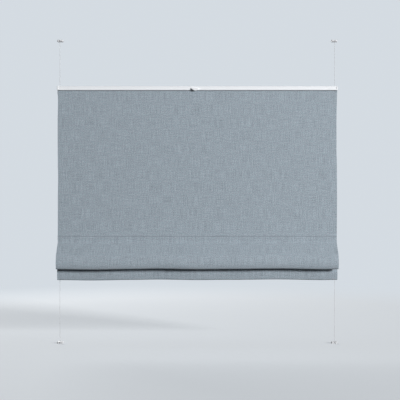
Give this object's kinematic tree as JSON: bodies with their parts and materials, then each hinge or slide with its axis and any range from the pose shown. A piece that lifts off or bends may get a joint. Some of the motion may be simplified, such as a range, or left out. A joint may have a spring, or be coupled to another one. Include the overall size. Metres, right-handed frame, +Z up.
{
  "type": "roman blind",
  "caption": "Roman blind stretched on cords in a window recess: a slim rail slides at each end of a linen-look cloth that gathers into soft folds over the lower rail.",
  "frame": {"origin": "midway between the two upper screw holes, on the plane where the upper shoes meet the recess", "axes": "+Z up along the cords, X along the rails, -Y towards the room"},
  "size_m": [0.9, 0.0609, 0.976],
  "materials": {
    "cloth": "linen weave",
    "rail": "satin white powder coat",
    "white_plastic": "satin",
    "grey_plastic": "satin",
    "cord": "braided",
    "steel": "bright",
    "tape": "woven tape",
    "clear_plastic": "satin",
    "rod": "glass fibre"
  },
  "bodies": {
    "window_fittings": {"upper_shoe_left": "grey_plastic", "upper_shoe_right": "grey_plastic", "lower_shoe_left": "grey_plastic", "lower_shoe_right": "grey_plastic", "tension_cord_left": "cord", "tension_cord_right": "cord", "cord_ferrules": "steel"},
    "top_rail": {"top_rail": "rail", "top_grip": "white_plastic", "top_carrier_strip": "white_plastic", "top_hook_tape": "tape", "tension_spring": "steel", "top_end_cap_left": "white_plastic", "top_end_cap_right": "white_plastic", "top_cord_guide_left": "white_plastic", "top_cord_guide_right": "white_plastic", "top_cross_cord_left": "cord", "top_cross_cord_right": "cord", "spring_thimble_left": "steel", "spring_thimble_right": "steel", "cloth": "cloth"},
    "upper_rod": {"upper_rod": "rod", "upper_rod_pocket": "tape", "upper_rod_caps": "grey_plastic", "upper_ring_left": "clear_plastic", "upper_ring_right": "clear_plastic"},
    "bottom_rail": {"bottom_rail": "rail", "bottom_tab": "white_plastic", "bottom_carrier_strip": "white_plastic", "bottom_hook_tape": "tape", "bottom_end_cap_left": "white_plastic", "bottom_end_cap_right": "white_plastic", "bottom_cord_guide_left": "white_plastic", "bottom_cord_guide_right": "white_plastic", "bottom_cross_cord_left": "cord", "bottom_cross_cord_right": "cord", "middle_rod": "rod", "middle_rod_pocket": "tape", "middle_rod_caps": "grey_plastic", "middle_ring_left": "clear_plastic", "middle_ring_right": "clear_plastic", "lower_rod": "rod", "lower_rod_pocket": "tape", "lower_rod_caps": "grey_plastic", "lower_ring_left": "clear_plastic", "lower_ring_right": "clear_plastic"}
  },
  "joints": [
    {"name": "top_rail_slide", "type": "slide", "parent": "window_fittings", "child": "top_rail", "axis": [0, 0, 1], "range_m": [-0.12, 0.14]},
    {"name": "bottom_rail_slide", "type": "slide", "parent": "top_rail", "child": "bottom_rail", "axis": [0, 0, 1], "range_m": [-0.08, 0.3], "deforming": ["cloth"]},
    {"name": "upper_rod_slide", "type": "slide", "parent": "top_rail", "child": "upper_rod", "axis": [0, 0, 1], "range_m": [-0.04, 0.15]}
  ],
  "couplings": [
    {"joint": "upper_rod_slide", "follows": "bottom_rail_slide", "ratio": 0.5}
  ]
}
